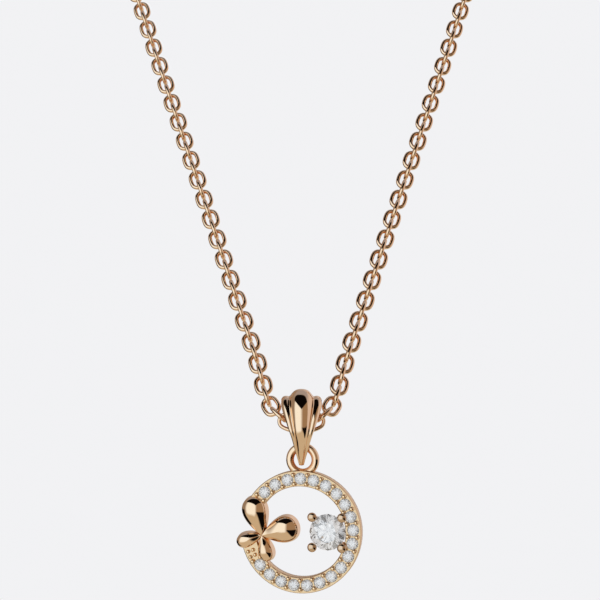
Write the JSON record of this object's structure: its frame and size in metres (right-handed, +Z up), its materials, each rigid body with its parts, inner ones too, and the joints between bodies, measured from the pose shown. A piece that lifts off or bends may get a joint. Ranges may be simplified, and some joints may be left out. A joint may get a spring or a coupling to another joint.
{
  "type": "pendant necklace",
  "caption": "Rose gold necklace: a stone-set circle with a butterfly and one round stone, hung from a fluted bail on a fine cable chain.",
  "frame": {"origin": "middle of the clasp, where the loop lies on the nape", "axes": "+Z up, the pendant hangs at the front on the -Y side and faces -Y, +X to the right as seen from the front"},
  "size_m": [0.1072, 0.1237, 0.1303],
  "materials": {
    "rose_gold": "polished",
    "clear_stone": "polished"
  },
  "bodies": {
    "necklace": {"chain_front": "rose_gold", "chain_back": "rose_gold", "clasp": "rose_gold"},
    "bail": {"bail": "rose_gold"},
    "pendant": {"pendant_frame": "rose_gold", "round_stone": "clear_stone", "small_stone_1": "clear_stone", "small_stone_2": "clear_stone", "small_stone_3": "clear_stone", "small_stone_4": "clear_stone", "small_stone_5": "clear_stone", "small_stone_6": "clear_stone", "small_stone_7": "clear_stone", "small_stone_8": "clear_stone", "small_stone_9": "clear_stone", "small_stone_10": "clear_stone", "small_stone_11": "clear_stone", "small_stone_12": "clear_stone", "small_stone_13": "clear_stone", "small_stone_14": "clear_stone", "small_stone_15": "clear_stone", "small_stone_16": "clear_stone", "small_stone_17": "clear_stone", "small_stone_18": "clear_stone", "small_stone_19": "clear_stone", "small_stone_20": "clear_stone"}
  },
  "joints": [
    {"name": "bail_swing", "type": "hinge", "parent": "necklace", "child": "bail", "pos_m": [0, -0.12, -0.108], "axis": [1, 0, 0], "range_deg": [-45, 45]},
    {"name": "pendant_swing", "type": "hinge", "parent": "bail", "child": "pendant", "pos_m": [0, -0.12, -0.1107], "axis": [1, 0, 0], "range_deg": [-50, 50]}
  ]
}
